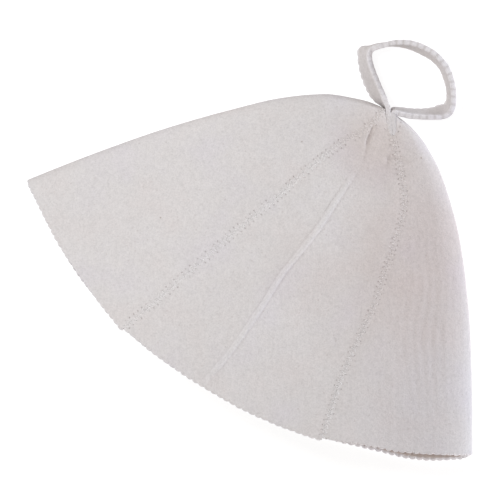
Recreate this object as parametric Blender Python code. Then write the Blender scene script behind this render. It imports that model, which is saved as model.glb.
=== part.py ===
"""A felt sauna hat that lies on its side, partly flattened, with its hanging loop.

The crown is five felt gores sewn edge to edge. The loop is one felt strap whose two
tails are held side by side in the top of a seam. +Y runs from the hem to the crown,
X runs across the hat, and the hat rests on Z = 0. The tables are in millimetres.
"""
import math
from collections import namedtuple

import bmesh
import bpy
import numpy as np
from mathutils import Vector

MM = 0.001

# Driving dimensions
FELT_THICKNESS = 3.0
SEAM_GAP = 0.4
CROWN_LENGTH = 223.0
HEM_CENTRE_X = -7.5
CROWN_TIP_X = 7.4
CROWN_TIP_Y = 86.2
HEM_STRIP_HEIGHT = 6.0
TOOTH_PITCH = 4.7
TOOTH_HEIGHT = 1.3
STRAP_WIDTH = 12.0
STRAP_TOOTH_PITCH = 4.8
STRAP_TOOTH_HEIGHT = 0.9

# The slot in the right seam that the strap's two tails stand in, along one direction
TAIL_DIRECTION = Vector((-0.6, 0.8, 0.0))
TAILS_MIDDLE = Vector((7.1, -8.8, 0.0))
TAIL_SLOT_HALF_WIDTH = 3.5
TAIL_SLOT_END = 0.066

# How far the sides bow, as a power of the distance from the centre line
LEFT_BOW = 2.4
RIGHT_BOW = 2.0

# Fine points along a tooth of the hem and of the strap
HEM_POINTS_PER_TOOTH = 4
STRAP_POINTS_PER_TOOTH = 2
STRAP_PATH_STEPS = 8

# Edges that turn more sharply than this are cut edges, and the rest is shaded smooth
SHARP_TURN = 40.0

# Steps over which directions on the surface are measured
SHARE_STEP = 0.002
ANGLE_STEP = 0.5

FELT_COLOUR = (0.69, 0.66, 0.65, 1.0)
STRAP_COLOUR = (0.66, 0.63, 0.63, 1.0)
FELT_ROUGHNESS = 0.95

# The two sides of the hat as it lies, from the crown to the hem, around the crown's tip
Side = namedtuple("Side", "share left_x left_y right_x right_y")
SIDES = [
    Side(0.00, -4.6, 0.2, 5.4, 0.5),
    Side(0.02, -8.8, -0.3, 9.0, 0.3),
    Side(0.05, -15.9, -1.5, 15.6, -0.5),
    Side(0.10, -27.8, -5.5, 27.3, -3.8),
    Side(0.15, -39.4, -10.3, 38.2, -9.1),
    Side(0.20, -50.0, -17.0, 48.6, -15.3),
    Side(0.30, -69.5, -32.6, 67.3, -30.6),
    Side(0.40, -87.1, -50.4, 84.6, -47.4),
    Side(0.60, -120.8, -87.5, 115.1, -84.8),
    Side(0.80, -152.2, -126.5, 142.6, -124.5),
    Side(1.00, -182.0, -166.7, 168.5, -165.3),
]

# Heights of the outer surface, going from the fold over the top to the bend, then under
# it. The column names say how many degrees round the section each height is.
HEIGHT_ANGLES = (0, 15, 35, 60, 90, 120, 150, 165, 180, 195, 215, 325, 345, 360)
Heights = namedtuple(
    "Heights", "share at_0 at_15 at_35 at_60 at_90 at_120 at_150 at_165 at_180 at_195 at_215 at_325 at_345"
)
HEIGHTS = [
    Heights(0.00, 8.6, 12.5, 15.4, 16.4, 16.6, 16.6, 15.8, 13.2, 9.0, 4.2, 1.0, 1.0, 4.0),
    Heights(0.02, 8.6, 13.0, 16.2, 17.6, 18.0, 17.9, 16.9, 14.0, 9.2, 4.0, 0.6, 0.6, 3.8),
    Heights(0.05, 8.2, 13.2, 17.2, 19.2, 20.0, 19.8, 18.4, 15.2, 9.6, 3.6, 0.0, 0.0, 3.2),
    Heights(0.10, 7.2, 13.0, 18.2, 21.2, 22.6, 22.6, 20.8, 17.2, 10.8, 3.8, 0.0, 0.0, 2.4),
    Heights(0.20, 6.0, 12.6, 19.0, 24.4, 27.6, 28.2, 25.2, 21.0, 13.6, 4.6, 0.0, 0.0, 1.4),
    Heights(0.40, 5.2, 12.0, 20.2, 30.0, 36.4, 37.0, 31.4, 25.6, 16.0, 5.0, 0.0, 0.0, 0.8),
    Heights(0.70, 5.0, 11.6, 21.2, 34.6, 44.8, 44.4, 35.8, 28.6, 17.4, 5.0, 0.0, 0.0, 0.6),
    Heights(1.00, 5.0, 11.4, 21.8, 37.4, 50.4, 49.0, 38.2, 30.2, 18.4, 5.0, 0.0, 0.0, 0.6),
]

# Where the seams and the crease cross each section, as shares of its half width
SeamLine = namedtuple("SeamLine", "share left_seam right_seam crease")
SEAM_LINES = [
    SeamLine(0.00, -0.93, 0.10, -0.85),
    SeamLine(0.02, -0.55, 0.34, -0.42),
    SeamLine(0.05, -0.33, 0.45, -0.25),
    SeamLine(0.10, -0.31, 0.53, -0.075),
    SeamLine(0.16, -0.37, 0.60, 0.05),
    SeamLine(0.27, -0.37, 0.65, 0.045),
    SeamLine(0.40, -0.36, 0.594, 0.042),
    SeamLine(0.50, -0.365, 0.563, 0.022),
    SeamLine(0.60, -0.37, 0.54, 0.005),
    SeamLine(0.70, -0.372, 0.503, 0.01),
    SeamLine(0.85, -0.375, 0.48, 0.006),
    SeamLine(1.00, -0.385, 0.48, -0.016),
]
UNDER_LEFT_SEAM = 321.0
UNDER_MIDDLE_SEAM = 270.0
UNDER_RIGHT_SEAM = 221.0
UNDER_SEAM_TURN = 14.0

# Round the crown's tip the felt turns in a short way
TIP_SHARE = 0.12
TIP_EVENING_ANGLE = 40.0

# The walls beside the tails stand along them. The felt's own thickness direction takes
# over within a few columns, and a slanted wall is at most twice as long as a straight one
SLANTED_COLUMNS = 4
LEAST_SLANT = 0.5

# The crease pressed in the front gore: a pinched dimple near the crown, then a narrow
# ridge along the top of a wide low fold
Crease = namedtuple("Crease", "share ridge fold")
CREASE = [
    Crease(0.055, 0.0, 0.0),
    Crease(0.075, -0.8, 0.0),
    Crease(0.105, -1.0, 0.0),
    Crease(0.13, -0.3, 0.0),
    Crease(0.17, 0.0, 0.0),
    Crease(0.22, 0.1, 0.0),
    Crease(0.30, 0.25, 0.6),
    Crease(0.47, 0.65, 2.0),
    Crease(0.58, 0.8, 2.0),
    Crease(0.82, 0.6, 2.0),
    Crease(1.00, 0.0, 0.2),
]
CREASE_HALF_WIDTH = 2.6
CREASE_SHOULDER = 7.0
FOLD_WIDTH = 13.0

# The front gore's columns: how many lie to each side of the crease, and how near the
# crease comes to the gore's seams, as a share of the gore
COLUMNS_LEFT_OF_CREASE = 4
COLUMNS_RIGHT_OF_CREASE = 5
CREASE_MARGIN = 0.3
CREASE_MAX_REACH = 0.25
SHOULDER_MAX_REACH = 0.6

# The back layer slips out past the front one near the bend. It does so fully where the
# section has turned this far down
BACK_SLIP = 5.8
BACK_SLIP_CENTRE = 0.88
BACK_SLIP_SPREAD = 0.18
BACK_SLIP_FULL_DEPTH = 0.2

# How far the upper layer's hem stands out from share 1, by its place across the hat
HemReach = namedtuple("HemReach", "across reach")
HEM_REACH = [
    HemReach(-1.0, 1.9),
    HemReach(-0.95, 0.7),
    HemReach(-0.88, 0.0),
    HemReach(-0.72, -0.8),
    HemReach(-0.60, -1.3),
    HemReach(-0.46, -0.5),
    HemReach(-0.38, 0.3),
    HemReach(-0.30, -0.5),
    HemReach(0.05, -0.9),
    HemReach(0.20, -0.5),
    HemReach(0.45, -0.1),
    HemReach(0.75, 0.0),
    HemReach(1.0, 0.5),
]
HEM_END_POWER = 4

# Rows from the crown to the top of the hem strip, closer together round the tails
ROW_SHARES = [0.0, 0.02, 0.04, 0.054, TAIL_SLOT_END, 0.073, 0.09, 0.12, 0.16, 0.205, 0.255]
LOWER_ROWS = 15
HEM_STRIP_SHARE = HEM_STRIP_HEIGHT / CROWN_LENGTH

# The gores in order round the hat, with how far each end of their hems stands out. The
# front gore's columns follow its crease
Gore = namedtuple("Gore", "name columns hem_start hem_end")
GORES = [
    Gore("left_gore", 22, 0.0, 1.6),
    Gore("front_gore", 0, 0.0, 1.4),
    Gore("right_gore", 20, -0.4, 0.0),
    Gore("back_right_gore", 9, 0.0, 0.0),
    Gore("back_left_gore", 9, 0.0, 0.0),
]

# The strap's upper edge in plan, how far its lower edge leans out from under it, and
# how high the lower edge is, from one tail round the loop to the other
StrapPoint = namedtuple("StrapPoint", "upper_x upper_y lean_x lean_y lower_z")
STRAP_PATH = [
    StrapPoint(6.8, -11.15, 0.0, 0.0, 8.0),
    StrapPoint(2.42, -5.31, 0.0, 0.0, 6.3),
    StrapPoint(-0.82, -0.99, 0.0, 0.0, 4.8),
    StrapPoint(-2.6, 1.9, -0.3, -0.2, 4.5),
    StrapPoint(-5.2, 4.0, -1.5, -2.0, 4.2),
    StrapPoint(-9.7, 7.8, -4.4, -5.3, 3.4),
    StrapPoint(-15.4, 11.9, -5.1, -6.4, 2.7),
    StrapPoint(-21.6, 16.3, -4.9, -6.5, 2.4),
    StrapPoint(-27.5, 20.9, -4.7, -5.8, 2.0),
    StrapPoint(-31.2, 25.0, -7.0, -2.9, 1.7),
    StrapPoint(-32.3, 28.6, -6.1, -2.2, 1.7),
    StrapPoint(-30.8, 32.0, -3.9, -2.2, 1.7),
    StrapPoint(-27.3, 35.9, -2.3, -1.0, 1.7),
    StrapPoint(-20.6, 42.6, -0.4, -1.6, 1.7),
    StrapPoint(-11.2, 47.7, 0.2, -3.2, 1.7),
    StrapPoint(0.0, 49.7, 0.0, -3.9, 1.7),
    StrapPoint(8.2, 48.9, -0.8, -3.3, 1.7),
    StrapPoint(15.8, 46.4, -1.8, -2.9, 1.7),
    StrapPoint(22.1, 42.0, -2.6, -2.4, 1.7),
    StrapPoint(27.8, 36.2, -3.2, -1.2, 1.8),
    StrapPoint(32.4, 29.4, -3.8, -0.4, 2.0),
    StrapPoint(34.8, 24.2, -5.6, 0.8, 2.1),
    StrapPoint(34.8, 19.4, -7.0, 3.4, 2.2),
    StrapPoint(31.7, 15.5, -5.8, 5.4, 2.4),
    StrapPoint(26.6, 12.2, -3.8, 4.6, 2.6),
    StrapPoint(20.0, 8.3, -2.4, 4.3, 3.0),
    StrapPoint(12.7, 4.8, -1.8, 3.7, 3.6),
    StrapPoint(6.8, 3.0, -1.3, 2.2, 4.2),
    StrapPoint(3.6, 2.4, -0.4, 0.5, 4.5),
    StrapPoint(2.3, 0.6, 0.0, 0.0, 4.8),
    StrapPoint(3.14, -0.77, 0.0, 0.0, 5.2),
    StrapPoint(5.06, -3.33, 0.0, 0.0, 6.3),
    StrapPoint(9.44, -9.17, 0.0, 0.0, 8.0),
]


def smooth_value(table, name, share):
    """A table column at a share of the length, with no overshoot between its rows."""
    xs = [row.share for row in table]
    ys = [getattr(row, name) for row in table]
    return monotone(xs, ys, share)


def monotone(xs, ys, x):
    """Monotone cubic interpolation of ys over xs."""
    x = min(max(x, xs[0]), xs[-1])
    i = min(int(np.searchsorted(xs, x, side="right")) - 1, len(xs) - 2)
    i = max(i, 0)
    slopes = [(ys[k + 1] - ys[k]) / (xs[k + 1] - xs[k]) for k in range(len(xs) - 1)]

    def tangent(k):
        if k == 0:
            return slopes[0]
        if k == len(xs) - 1:
            return slopes[-1]
        before, after = slopes[k - 1], slopes[k]
        if before * after <= 0:
            return 0.0
        return 2 * before * after / (before + after)

    step = xs[i + 1] - xs[i]
    t = (x - xs[i]) / step
    start, end = ys[i], ys[i + 1]
    rise = start * (2 * t**3 - 3 * t**2 + 1) + end * (3 * t**2 - 2 * t**3)
    return rise + step * (tangent(i) * (t**3 - 2 * t**2 + t) + tangent(i + 1) * (t**3 - t**2))


def section_height(share, angle):
    """Height of the outer surface at an angle round the section."""
    names = Heights._fields[1:]
    heights = [smooth_value(HEIGHTS, name, share) for name in names]
    heights.append(heights[0])
    return monotone(HEIGHT_ANGLES, heights, angle % 360.0)


def half_width(share):
    return (smooth_value(SIDES, "right_x", share) - smooth_value(SIDES, "left_x", share)) / 2


def crease_lift(share, across):
    """How far the crease lifts the upper layer, or dents it."""
    offset = (across - smooth_value(SEAM_LINES, "crease", share)) * half_width(share)
    ridge = smooth_value(CREASE, "ridge", share) * math.exp(-((offset / CREASE_HALF_WIDTH) ** 2))
    return ridge + smooth_value(CREASE, "fold", share) * math.exp(-abs(offset) / FOLD_WIDTH)


def hat_point(share, angle):
    """A point of the hat's outer surface, in millimetres from the crown's tip."""
    across = -math.cos(math.radians(angle))
    upward = math.sin(math.radians(angle))
    side = "left" if across < 0 else "right"
    bow = LEFT_BOW if across < 0 else RIGHT_BOW
    side_x = smooth_value(SIDES, side + "_x", share)
    side_y = smooth_value(SIDES, side + "_y", share)
    centre_x = HEM_CENTRE_X * share
    centre_y = -CROWN_LENGTH * share
    x = centre_x + abs(across) * (side_x - centre_x)
    y = centre_y + abs(across) ** bow * (side_y - centre_y)
    z = section_height(share, angle)
    if upward > 0:
        z += crease_lift(share, across)
    else:
        near_bend = math.exp(-(((across - BACK_SLIP_CENTRE) / BACK_SLIP_SPREAD) ** 2))
        y -= BACK_SLIP * share**2 * near_bend * min(-upward / BACK_SLIP_FULL_DEPTH, 1.0)
    return Vector((x, y, z))


def exact_normal(share, angle):
    """The outward normal of the hat's outer surface."""
    low = max(share - SHARE_STEP, 0.0)
    along = hat_point(low + 2 * SHARE_STEP, angle) - hat_point(low, angle)
    return along.cross(direction_around(share, angle)).normalized()


def direction_around(share, angle):
    """The direction round the section, from the fold over the top to the bend."""
    ahead = hat_point(share, angle + ANGLE_STEP)
    return (ahead - hat_point(share, angle - ANGLE_STEP)).normalized()


def hat_normal(share, angle):
    """The direction the felt's thickness is measured in, evened out round the tip."""
    window = TIP_EVENING_ANGLE * max(0.0, 1.0 - share / TIP_SHARE)
    if window == 0.0:
        return exact_normal(share, angle)
    total = Vector((0.0, 0.0, 0.0))
    for shift in (-1.0, -0.6, -0.3, 0.0, 0.3, 0.6, 1.0):
        total += exact_normal(share, angle + shift * window)
    return total.normalized()


def angle_across(across):
    """The angle over the top at a share of the half width."""
    return math.degrees(math.acos(-max(-1.0, min(1.0, across))))


def tails_offset(point):
    """How far a point lies to the right of the line between the two tails, in plan."""
    away = point - TAILS_MIDDLE
    return away.x * TAIL_DIRECTION.y - away.y * TAIL_DIRECTION.x


def slot_edge_angle(share, side):
    """Where one edge of the tails' slot crosses a section, found by halving."""
    low, high = 0.0, 180.0
    while high - low > ANGLE_STEP / 100:
        middle = (low + high) / 2
        if tails_offset(hat_point(share, middle)) < side * TAIL_SLOT_HALF_WIDTH:
            low = middle
        else:
            high = middle
    return (low + high) / 2


def right_seam_angle(share, side):
    """The right seam's edge on one side, which leaves room for the tails near the crown."""
    if share <= TAIL_SLOT_END:
        return slot_edge_angle(share, side)
    return angle_across(smooth_value(SEAM_LINES, "right_seam", share))


def gore_angles(gore, share):
    """The angles of a gore's columns at a share of the length, from seam to seam."""
    left_seam = angle_across(smooth_value(SEAM_LINES, "left_seam", share))
    if gore.name == "front_gore":
        return front_gore_angles(share, left_seam, right_seam_angle(share, -1))
    turn = UNDER_SEAM_TURN * max(0.0, 1.0 - share / TIP_SHARE)
    under_left, under_right = UNDER_LEFT_SEAM - turn, UNDER_RIGHT_SEAM + turn
    edges = {
        "left_gore": (under_left - 360.0, left_seam),
        "right_gore": (right_seam_angle(share, 1), under_right),
        "back_right_gore": (under_right, UNDER_MIDDLE_SEAM),
        "back_left_gore": (UNDER_MIDDLE_SEAM, under_left),
    }
    return np.linspace(*edges[gore.name], gore.columns + 1)


def front_gore_angles(share, start, end):
    """Columns of the front gore, closer together at the crease."""
    crease = angle_across(smooth_value(SEAM_LINES, "crease", share))
    margin = CREASE_MARGIN * (end - start)
    crease = min(max(crease, start + margin), end - margin)
    reach = min(crease - start, end - crease)
    degree_width = half_width(share) * math.radians(1.0)
    inner = min(CREASE_HALF_WIDTH / degree_width, CREASE_MAX_REACH * reach)
    outer = min(CREASE_SHOULDER / degree_width, SHOULDER_MAX_REACH * reach)
    left = np.linspace(start, crease - outer, COLUMNS_LEFT_OF_CREASE)
    right = np.linspace(crease + outer, end, COLUMNS_RIGHT_OF_CREASE)
    return np.concatenate([left, [crease - inner, crease, crease + inner], right])


def along_tails(normal):
    """A wall direction beside the tails: the normal without its part across them."""
    across = Vector((TAIL_DIRECTION.y, -TAIL_DIRECTION.x, 0.0))
    flat = (normal - across * normal.dot(across)).normalized()
    return flat / max(flat.dot(normal), LEAST_SLANT)


def felt_pair(share, angle, shift, slant=0.0):
    """The outer and the inner point of the felt at one place, moved along the section.

    The slant turns the felt's thickness direction to run along the tails.
    """
    outer = hat_point(share, angle)
    normal = hat_normal(share, angle)
    inward = normal.lerp(along_tails(normal), slant)
    inner = outer - inward * FELT_THICKNESS
    sideways = direction_around(share, angle) * shift
    return outer + sideways, inner + sideways


def row_shares():
    lower = np.linspace(ROW_SHARES[-1], 1.0 - HEM_STRIP_SHARE, LOWER_ROWS)
    return ROW_SHARES + list(lower[1:])


def edge_shift(column, last):
    """Half of the seam gap, away from the edge that the column is on."""
    return {0: SEAM_GAP / 2, last: -SEAM_GAP / 2}.get(column, 0.0)


def gore_rows(gore):
    """Rows of felt points from the crown's tip to the top of the hem strip."""
    rows = []
    for share in row_shares():
        angles = gore_angles(gore, share)
        last = len(angles) - 1
        row = []
        for column, angle in enumerate(angles):
            slant = slant_beside_tails(gore, share, column, last)
            row.append(felt_pair(share, angle, edge_shift(column, last), slant))
        rows.append(row)
    return rows


def slant_beside_tails(gore, share, column, last):
    """1 at the slot's edges and along the crown's tip, fading over the next few columns."""
    if share == 0.0:
        return 1.0
    slot_column = {"front_gore": last, "right_gore": 0}.get(gore.name)
    if slot_column is None or share > TAIL_SLOT_END:
        return 0.0
    return max(0.0, 1.0 - abs(column - slot_column) / SLANTED_COLUMNS)


def hem_reach(gore, angle, along):
    """How far the hem stands out past share 1, at a share along the gore's hem."""
    reach = gore.hem_start + (gore.hem_end - gore.hem_start) * along**HEM_END_POWER
    if math.sin(math.radians(angle)) > 0:
        across = -math.cos(math.radians(angle))
        reach += np.interp(across, [row.across for row in HEM_REACH], [row.reach for row in HEM_REACH])
    return reach


def hem_row(gore, angles):
    """Felt points along the pinked hem, a few to a tooth."""
    length = sum(
        (hat_point(1.0, angles[k + 1]) - hat_point(1.0, angles[k])).length for k in range(len(angles) - 1)
    )
    steps = round(length / TOOTH_PITCH) * HEM_POINTS_PER_TOOTH
    fine = np.interp(np.linspace(0, len(angles) - 1, steps + 1), range(len(angles)), angles)
    points = []
    for k, angle in enumerate(fine):
        wave = TOOTH_HEIGHT / 2 * math.cos(2 * math.pi * k / HEM_POINTS_PER_TOOTH)
        share = 1.0 + (wave + hem_reach(gore, angle, k / steps)) / CROWN_LENGTH
        points.append(hem_pair(share, angle, edge_shift(k, steps)))
    return points


def hem_pair(share, angle, shift):
    """Felt points past the last row, along the line from the row above."""
    outer, inner = felt_pair(1.0, angle, shift)
    above_outer, above_inner = felt_pair(1.0 - HEM_STRIP_SHARE, angle, shift)
    reach = (share - 1.0) / HEM_STRIP_SHARE
    return outer + (outer - above_outer) * reach, inner + (inner - above_inner) * reach


def place(point):
    """From millimetres around the crown's tip to the part's frame in metres."""
    return Vector((point.x + CROWN_TIP_X, point.y + CROWN_TIP_Y, point.z)) * MM


def add_material(obj, name, colour):
    material = bpy.data.materials.new(name)
    material.use_nodes = True
    shader = material.node_tree.nodes["Principled BSDF"]
    shader.inputs["Base Color"].default_value = colour
    shader.inputs["Roughness"].default_value = FELT_ROUGHNESS
    shader.inputs["Metallic"].default_value = 0.0
    material.diffuse_color = colour
    obj.data.materials.append(material)


def finish_object(bm, name, collection, colour):
    bmesh.ops.recalc_face_normals(bm, faces=bm.faces)
    mesh = bpy.data.meshes.new(name)
    bm.to_mesh(mesh)
    bm.free()
    mesh.shade_smooth()
    mesh.set_sharp_from_angle(angle=math.radians(SHARP_TURN))
    obj = bpy.data.objects.new(name, mesh)
    collection.objects.link(obj)
    add_material(obj, name + "_felt", colour)
    return obj


def build_gore(gore, collection):
    """A gore as a loft of its outer and inner skins, closed along its four edges."""
    rows = gore_rows(gore)
    hem = hem_row(gore, gore_angles(gore, 1.0))
    bm = bmesh.new()
    skins = []
    for layer in (0, 1):
        grid = [[bm.verts.new(place(pair[layer])) for pair in row] for row in rows]
        edge = [bm.verts.new(place(pair[layer])) for pair in hem]
        for upper, lower in zip(grid, grid[1:]):
            for k in range(len(upper) - 1):
                bm.faces.new((upper[k], upper[k + 1], lower[k + 1], lower[k]))
        join_hem(bm, grid[-1], edge)
        skins.append((grid, edge))
    border_pairs = list(zip(border(*skins[0]), border(*skins[1])))
    for (a_out, a_in), (b_out, b_in) in zip(border_pairs, border_pairs[1:] + border_pairs[:1]):
        bm.faces.new((a_out, b_out, b_in, a_in))
    return finish_object(bm, gore.name, collection, FELT_COLOUR)


def join_hem(bm, row, edge):
    """One face under each column, down to the teeth below it."""
    spans = len(row) - 1
    cuts = [round(k * (len(edge) - 1) / spans) for k in range(spans + 1)]
    for k in range(spans):
        teeth = edge[cuts[k]:cuts[k + 1] + 1]
        bm.faces.new([row[k + 1], row[k], *teeth])


def border(grid, edge):
    """The vertices round a skin: along the tip, down one seam, the hem, and back up."""
    down = [row[-1] for row in grid[1:]]
    up = [row[0] for row in reversed(grid[1:])]
    return grid[0] + down + list(reversed(edge)) + up


def catmull_rom(points, k, t):
    """A point on the smooth curve through the points, between point k and the next."""
    before = points[max(k - 1, 0)]
    after = points[min(k + 2, len(points) - 1)]
    start, end = points[k], points[k + 1]
    return 0.5 * (
        2 * start
        + (end - before) * t
        + (2 * before - 5 * start + 4 * end - after) * t**2
        + (3 * start - before - 3 * end + after) * t**3
    )


def strap_stations():
    """Rows of the strap's path at even steps along it, two to a tooth."""
    table = np.array(STRAP_PATH)
    steps = np.arange(STRAP_PATH_STEPS) / STRAP_PATH_STEPS
    fine = np.array([catmull_rom(table, k, t) for k in range(len(table) - 1) for t in steps])
    fine = np.vstack([fine, table[-1]])
    middle = fine[:, :2] + fine[:, 2:4] / 2
    length = np.concatenate([[0], np.cumsum(np.linalg.norm(np.diff(middle, axis=0), axis=1))])
    count = round(length[-1] / STRAP_TOOTH_PITCH) * STRAP_POINTS_PER_TOOTH
    wanted = np.linspace(0, length[-1], count + 1)
    return np.array([np.interp(wanted, length, fine[:, c]) for c in range(fine.shape[1])]).T


def build_strap(collection):
    """The strap: a band on its edge, swept along the loop, with pinked edges."""
    stations = strap_stations()
    lowers, uppers = [], []
    for x, y, lean_x, lean_y, low in stations:
        rise = math.sqrt(STRAP_WIDTH**2 - lean_x**2 - lean_y**2)
        uppers.append(Vector((x, y, low + rise)))
        lowers.append(Vector((x + lean_x, y + lean_y, low)))
    middles = [(u + v) / 2 for u, v in zip(uppers, lowers)]
    bm = bmesh.new()
    rings = []
    for k, middle in enumerate(middles):
        ahead = middles[min(k + 1, len(middles) - 1)] - middles[max(k - 1, 0)]
        up = (uppers[k] - lowers[k]).normalized()
        side = ahead.cross(up).normalized() * FELT_THICKNESS / 2
        tooth = STRAP_TOOTH_HEIGHT / 2 if k % 2 else -STRAP_TOOTH_HEIGHT / 2
        reach = up * (STRAP_WIDTH / 2 + tooth)
        corners = (middle + reach + side, middle + reach - side, middle - reach - side, middle - reach + side)
        rings.append([bm.verts.new(place(corner)) for corner in corners])
    for ring, following in zip(rings, rings[1:]):
        for c in range(4):
            bm.faces.new((ring[c], ring[(c + 1) % 4], following[(c + 1) % 4], following[c]))
    bm.faces.new(rings[0])
    bm.faces.new(reversed(rings[-1]))
    return finish_object(bm, "hanging_loop", collection, STRAP_COLOUR)


def main():
    for obj in list(bpy.data.objects):
        bpy.data.objects.remove(obj, do_unlink=True)
    collection = bpy.data.collections.new("felt_sauna_hat")
    bpy.context.scene.collection.children.link(collection)
    for gore in GORES:
        build_gore(gore, collection)
    build_strap(collection)


main()
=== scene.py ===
"""Looks for the felt sauna hat: fine felt gores, pinked edges, zigzag stitching and a strap loop.

The hat lies on its side on a pale floor and is seen from straight above. The tables are in
millimetres from the crown's tip, as the CAD part's are, and place() turns them to metres. A share
runs from 0 at the tip to 1 at the hem. An angle runs round the hat in degrees: 0 at the sharp
left fold, 90 on top, 180 at the right bend and 270 underneath.
"""

import math
from collections import namedtuple

import bpy
import bmesh
import numpy as np
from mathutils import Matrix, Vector


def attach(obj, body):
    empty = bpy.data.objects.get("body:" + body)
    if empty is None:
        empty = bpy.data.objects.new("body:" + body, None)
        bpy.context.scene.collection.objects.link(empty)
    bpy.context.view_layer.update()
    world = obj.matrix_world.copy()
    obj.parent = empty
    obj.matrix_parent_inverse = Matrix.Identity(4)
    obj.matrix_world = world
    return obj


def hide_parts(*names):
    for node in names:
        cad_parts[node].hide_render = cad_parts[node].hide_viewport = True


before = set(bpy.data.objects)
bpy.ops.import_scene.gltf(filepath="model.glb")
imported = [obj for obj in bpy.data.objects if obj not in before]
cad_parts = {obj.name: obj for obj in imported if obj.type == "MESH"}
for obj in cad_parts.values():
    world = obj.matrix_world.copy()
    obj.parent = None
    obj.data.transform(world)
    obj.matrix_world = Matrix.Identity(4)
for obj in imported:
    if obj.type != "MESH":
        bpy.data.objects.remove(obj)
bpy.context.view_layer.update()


def table(columns, *rows):
    """Rows of values with named columns."""
    kind = namedtuple("Row", columns)
    return [kind(*row) for row in rows]


MM = 0.001

# Sizes shared with the CAD part, in millimetres
FELT_THICKNESS = 3.0
CROWN_LENGTH = 223.0
HEM_CENTRE_X = -7.5
CROWN_TIP_X = 7.4
CROWN_TIP_Y = 86.2
TOOTH_PITCH = 4.7
TOOTH_HEIGHT = 1.0
STRAP_WIDTH = 12.0
STRAP_TOOTH_PITCH = 4.8
STRAP_TOOTH_HEIGHT = 1.0
TAIL_DIRECTION = np.array((-0.6, 0.8, 0.0))
TAILS_MIDDLE = (7.1, -8.8)
TAIL_SLOT_END = 0.0705
LEFT_BOW = 2.4
RIGHT_BOW = 2.0

# The two side outlines of the hat
SIDES = table(
    "share left_x left_y right_x right_y",
    (0.00, -4.6, 0.2, 5.4, 0.5),
    (0.02, -8.8, -0.3, 9.0, 0.3),
    (0.05, -15.9, -1.5, 15.6, -0.5),
    (0.10, -27.8, -5.5, 27.3, -3.8),
    (0.15, -39.4, -10.3, 38.2, -9.1),
    (0.20, -50.0, -17.0, 48.6, -15.3),
    (0.30, -69.5, -32.6, 67.3, -30.6),
    (0.40, -87.1, -50.4, 84.6, -47.4),
    (0.60, -120.8, -87.5, 115.1, -84.8),
    (0.80, -152.2, -126.5, 142.6, -124.5),
    (1.00, -182.0, -166.7, 168.5, -165.3),
)

# The oval slot at the top of the right seam, where the strap's tails are sewn in
SLOT_WIDTHS = table(
    "share half_width",
    (0.0, 3.45), (0.022, 3.38), (0.034, 3.1), (0.046, 2.6), (0.056, 2.0), (0.064, 1.35),
    (0.0695, 0.8), (0.0705, 0.02),
)

# Heights of the outer surface over the floor, at each of these angles round the hat
HEIGHT_ANGLES = (0, 15, 35, 60, 90, 120, 150, 165, 180, 195, 215, 325, 345, 360)
HEIGHTS = table(
    "share at_0 at_15 at_35 at_60 at_90 at_120 at_150 at_165 at_180 at_195 at_215 at_325 at_345",
    (0.00, 8.6, 12.5, 15.4, 16.4, 16.6, 16.6, 15.8, 13.2, 9.0, 4.2, 1.0, 1.0, 4.0),
    (0.02, 8.6, 13.0, 16.2, 17.6, 18.0, 17.9, 16.9, 14.0, 9.2, 4.0, 0.6, 0.6, 3.8),
    (0.05, 8.2, 13.2, 17.2, 19.2, 20.0, 19.8, 18.4, 15.2, 9.6, 3.6, 0.0, 0.0, 3.2),
    (0.10, 7.2, 13.0, 18.2, 21.2, 22.6, 22.6, 20.8, 17.2, 10.8, 3.8, 0.0, 0.0, 2.4),
    (0.20, 6.0, 12.6, 19.0, 24.4, 27.6, 28.2, 25.2, 21.0, 13.6, 4.6, 0.0, 0.0, 1.4),
    (0.40, 5.2, 12.0, 20.2, 30.0, 36.4, 37.0, 31.4, 25.6, 16.0, 5.0, 0.0, 0.0, 0.8),
    (0.70, 5.0, 11.6, 21.2, 34.6, 44.8, 44.4, 35.8, 28.6, 17.4, 5.0, 0.0, 0.0, 0.6),
    (1.00, 5.0, 11.4, 21.8, 37.4, 50.4, 49.0, 38.2, 30.2, 18.4, 5.0, 0.0, 0.0, 0.6),
)

# Places across the hat of the two visible seams and the long crease
SEAM_LINES = table(
    "share left_seam right_seam crease",
    (0.00, -0.93, 0.10, -0.85),
    (0.02, -0.55, 0.34, -0.42),
    (0.05, -0.33, 0.45, -0.25),
    (0.10, -0.31, 0.53, -0.075),
    (0.16, -0.37, 0.60, 0.05),
    (0.27, -0.37, 0.65, 0.045),
    (0.40, -0.36, 0.594, 0.042),
    (0.50, -0.365, 0.563, 0.022),
    (0.60, -0.37, 0.54, 0.005),
    (0.70, -0.372, 0.503, 0.01),
    (0.85, -0.375, 0.48, 0.006),
    (1.00, -0.385, 0.48, -0.016),
)
# Angles of the three seams underneath, and how far the outer two turn at the tip
UNDER_LEFT_SEAM = 321.0
UNDER_MIDDLE_SEAM = 270.0
UNDER_RIGHT_SEAM = 221.0
UNDER_SEAM_TURN = 14.0
TIP_SHARE = 0.12
TIP_EVENING_ANGLE = 40.0

# The crease along the hat: a dimple where its height is below zero, and then a ridge
CREASE_HEIGHTS = table(
    "share height",
    (0.055, 0.0), (0.075, -0.9), (0.105, -1.2), (0.13, -0.3), (0.17, 0.0), (0.30, 0.15),
    (0.42, 0.3), (0.58, 0.4), (0.80, 0.3), (1.00, 0.1),
)
CREASE_HALF_WIDTH = 1.8
DIMPLE_HALF_WIDTH = 1.4
RIDGE_START = 0.17
RIDGE_END = 1.03
RIDGE_SOFTNESS = 0.3
GROOVE_MARGIN = 0.4
GROOVE_DEPTH = 0.22
GROOVE_HALF_WIDTH = 0.5
CREASE_TENT_HEIGHT = 2.0
CREASE_TENT_WIDTH = 13.0
TENT_START = 0.22
TENT_END = 1.02
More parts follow.
